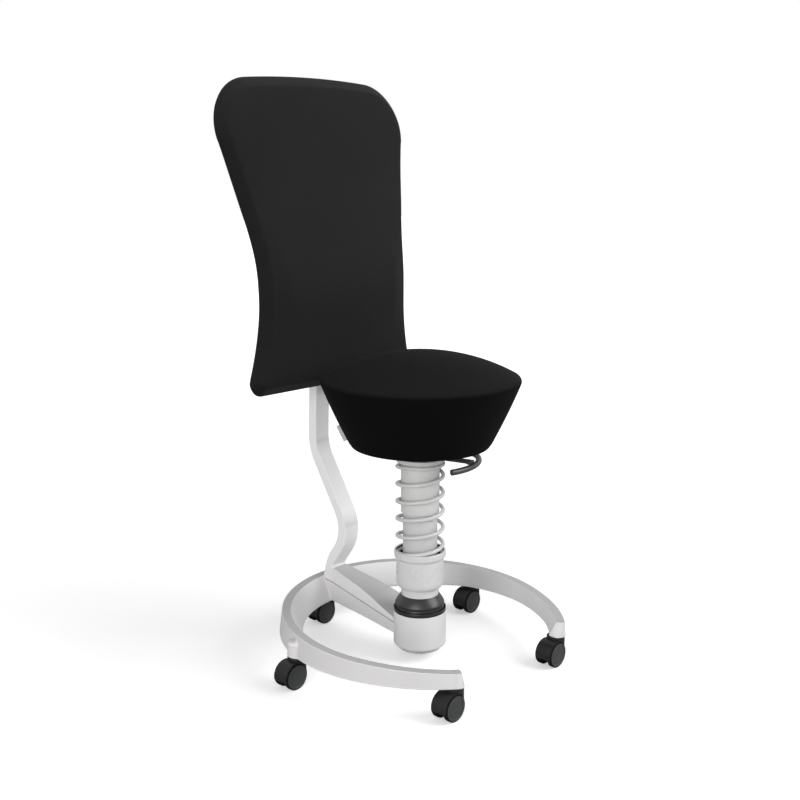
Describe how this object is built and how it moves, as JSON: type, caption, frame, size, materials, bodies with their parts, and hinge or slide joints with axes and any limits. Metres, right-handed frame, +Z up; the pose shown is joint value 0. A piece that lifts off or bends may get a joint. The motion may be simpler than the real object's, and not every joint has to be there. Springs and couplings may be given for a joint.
{
  "type": "balance stool",
  "caption": "Balance stool with a tall backrest: a sprung, tilting column on a C-shaped castor ring carries a round crowned seat, and a bent arm from the spoke holds the back.",
  "frame": {"origin": "on the floor, under the axis of the upright column", "axes": "+Z up; -Y to the front, where the sitter's knees point and the foot ring opens; +Y to the backrest; +X to the right of someone who faces -Y and sits, seen from behind"},
  "size_m": [0.601, 0.5803, 1.172],
  "materials": {
    "frame_paint": "cast, light grey powder coat, satin",
    "arm_paint": "light grey powder coat, satin",
    "column_paint": "turned and cast, light grey coat, smooth satin",
    "spring_paint": "light grey coat, satin",
    "plate_metal": "turned, dull",
    "screw_steel": "zinc-plated steel",
    "inner_steel": "machined steel, unseen",
    "rod_chrome": "hard-chromed, polished",
    "boot_rubber": "black moulded rubber, satin",
    "bearing_rubber": "black rubber, unseen",
    "socket_plastic": "black nylon, unseen",
    "seat_plastic": "black moulded plastic",
    "castor_plastic": "black moulded plastic, fine grain",
    "wheel_plastic": "black moulded plastic, satin",
    "lever_paint": "black coat, half gloss",
    "fabric": "black woven upholstery",
    "back_fabric": "black woven upholstery, taut",
    "tab_fabric": "light grey woven tape, bare"
  },
  "bodies": {
    "base": {"foot_ring": "frame_paint", "hub_carrier": "frame_paint", "end_plate": "plate_metal", "end_plate_screws": "screw_steel", "castor_sockets": "socket_plastic", "boot_ring": "boot_rubber", "bearing_cup": "inner_steel", "tilt_buffer": "bearing_rubber", "backrest_arm": "arm_paint", "arm_bolts": "screw_steel", "backrest_bracket": "seat_plastic", "backrest_carrier": "back_fabric", "backrest_cushion": "fabric", "backrest_screws": "screw_steel"},
    "gimbal": {"bearing_ring": "bearing_rubber"},
    "column": {"pivot_post": "inner_steel", "dome_boot": "boot_rubber", "neck": "column_paint", "collar": "column_paint", "lower_tube": "column_paint", "guide_bush": "socket_plastic", "bounce_spring": "spring_paint"},
    "carriage": {"upper_tube": "spring_paint", "spring_plate": "spring_paint", "stand_tube": "inner_steel", "stand_bush": "socket_plastic", "piston_rod": "rod_chrome"},
    "riser": {"gas_cylinder": "inner_steel"},
    "pin": {"release_pin": "screw_steel"},
    "seat": {"seat_bracket": "seat_plastic", "seat_plate": "seat_plastic", "seat_screws": "screw_steel", "seat_cushion": "fabric", "label_tab": "tab_fabric", "lever_pin": "screw_steel"},
    "lever": {"lever": "lever_paint"},
    "castor_left": {"castor_housing_1": "castor_plastic", "castor_axle_1": "screw_steel"},
    "castor_left_wheel_near": {"castor_wheel_1a": "wheel_plastic"},
    "castor_left_wheel_far": {"castor_wheel_1b": "wheel_plastic"},
    "castor_front_left": {"castor_housing_2": "castor_plastic", "castor_axle_2": "screw_steel"},
    "castor_front_left_wheel_near": {"castor_wheel_2a": "wheel_plastic"},
    "castor_front_left_wheel_far": {"castor_wheel_2b": "wheel_plastic"},
    "castor_front_right": {"castor_housing_3": "castor_plastic", "castor_axle_3": "screw_steel"},
    "castor_front_right_wheel_near": {"castor_wheel_3a": "wheel_plastic"},
    "castor_front_right_wheel_far": {"castor_wheel_3b": "wheel_plastic"},
    "castor_right": {"castor_housing_4": "castor_plastic", "castor_axle_4": "screw_steel"},
    "castor_right_wheel_near": {"castor_wheel_4a": "wheel_plastic"},
    "castor_right_wheel_far": {"castor_wheel_4b": "wheel_plastic"},
    "castor_rear": {"castor_housing_5": "castor_plastic", "castor_axle_5": "screw_steel"},
    "castor_rear_wheel_near": {"castor_wheel_5a": "wheel_plastic"},
    "castor_rear_wheel_far": {"castor_wheel_5b": "wheel_plastic"}
  },
  "joints": [
    {"name": "tilt_fore_aft", "type": "hinge", "parent": "base", "child": "gimbal", "pos_m": [0, 0, 0.0974], "axis": [1, 0, 0], "range_deg": [-0.5, 8], "stiffness_Nm_per_rad": 600},
    {"name": "tilt_sideways", "type": "hinge", "parent": "gimbal", "child": "column", "pos_m": [0, 0, 0.0974], "axis": [0, 1, 0], "range_deg": [-8, 8], "stiffness_Nm_per_rad": 600},
    {"name": "bounce", "type": "slide", "parent": "column", "child": "carriage", "axis": [0, 0, 1], "range_m": [-0.06, 0], "stiffness_N_per_m": 9000, "springref_m": 0.02, "deforming": ["bounce_spring"]},
    {"name": "height", "type": "slide", "parent": "carriage", "child": "riser", "axis": [0, 0, 1], "range_m": [0, 0.12]},
    {"name": "valve_pin", "type": "slide", "parent": "riser", "child": "pin", "axis": [0, 0, 1], "range_m": [-0.0036, 0], "stiffness_N_per_m": 800, "springref_m": 0.004},
    {"name": "seat_swivel", "type": "hinge", "parent": "riser", "child": "seat", "pos_m": [0, 0, 0.433], "axis": [0, 0, 1], "continuous": true},
    {"name": "lever_lift", "type": "hinge", "parent": "seat", "child": "lever", "pos_m": [0, -0.03, 0.441], "axis": [-1, 0, 0], "range_deg": [0, 6], "stiffness_Nm_per_rad": 8, "springref_deg": -6.88},
    {"name": "castor_left_swivel", "type": "hinge", "parent": "base", "child": "castor_left", "pos_m": [-0.26776, 0.08186, 0.06], "axis": [0, 0, 1], "continuous": true},
    {"name": "castor_left_wheel_near_spin", "type": "hinge", "parent": "castor_left", "child": "castor_left_wheel_near", "pos_m": [-0.28476, 0.08186, 0.026], "axis": [0, 1, 0], "continuous": true},
    {"name": "castor_left_wheel_far_spin", "type": "hinge", "parent": "castor_left", "child": "castor_left_wheel_far", "pos_m": [-0.28476, 0.08186, 0.026], "axis": [0, 1, 0], "continuous": true},
    {"name": "castor_front_left_swivel", "type": "hinge", "parent": "base", "child": "castor_front_left", "pos_m": [-0.16003, -0.22854, 0.06], "axis": [0, 0, 1], "continuous": true},
    {"name": "castor_front_left_wheel_near_spin", "type": "hinge", "parent": "castor_front_left", "child": "castor_front_left_wheel_near", "pos_m": [-0.17703, -0.22854, 0.026], "axis": [0, 1, 0], "continuous": true},
    {"name": "castor_front_left_wheel_far_spin", "type": "hinge", "parent": "castor_front_left", "child": "castor_front_left_wheel_far", "pos_m": [-0.17703, -0.22854, 0.026], "axis": [0, 1, 0], "continuous": true},
    {"name": "castor_front_right_swivel", "type": "hinge", "parent": "base", "child": "castor_front_right", "pos_m": [0.16003, -0.22854, 0.06], "axis": [0, 0, 1], "continuous": true},
    {"name": "castor_front_right_wheel_near_spin", "type": "hinge", "parent": "castor_front_right", "child": "castor_front_right_wheel_near", "pos_m": [0.14303, -0.22854, 0.026], "axis": [0, 1, 0], "continuous": true},
    {"name": "castor_front_right_wheel_far_spin", "type": "hinge", "parent": "castor_front_right", "child": "castor_front_right_wheel_far", "pos_m": [0.14303, -0.22854, 0.026], "axis": [0, 1, 0], "continuous": true},
    {"name": "castor_right_swivel", "type": "hinge", "parent": "base", "child": "castor_right", "pos_m": [0.26776, 0.08186, 0.06], "axis": [0, 0, 1], "continuous": true},
    {"name": "castor_right_wheel_near_spin", "type": "hinge", "parent": "castor_right", "child": "castor_right_wheel_near", "pos_m": [0.25077, 0.08186, 0.026], "axis": [0, 1, 0], "continuous": true},
    {"name": "castor_right_wheel_far_spin", "type": "hinge", "parent": "castor_right", "child": "castor_right_wheel_far", "pos_m": [0.25077, 0.08186, 0.026], "axis": [0, 1, 0], "continuous": true},
    {"name": "castor_rear_swivel", "type": "hinge", "parent": "base", "child": "castor_rear", "pos_m": [0, 0.28, 0.06], "axis": [0, 0, 1], "continuous": true},
    {"name": "castor_rear_wheel_near_spin", "type": "hinge", "parent": "castor_rear", "child": "castor_rear_wheel_near", "pos_m": [-0.017, 0.28, 0.026], "axis": [0, 1, 0], "continuous": true},
    {"name": "castor_rear_wheel_far_spin", "type": "hinge", "parent": "castor_rear", "child": "castor_rear_wheel_far", "pos_m": [-0.017, 0.28, 0.026], "axis": [0, 1, 0], "continuous": true}
  ],
  "couplings": [
    {"joint": "valve_pin", "follows": "lever_lift", "m_per_rad": -0.034}
  ]
}
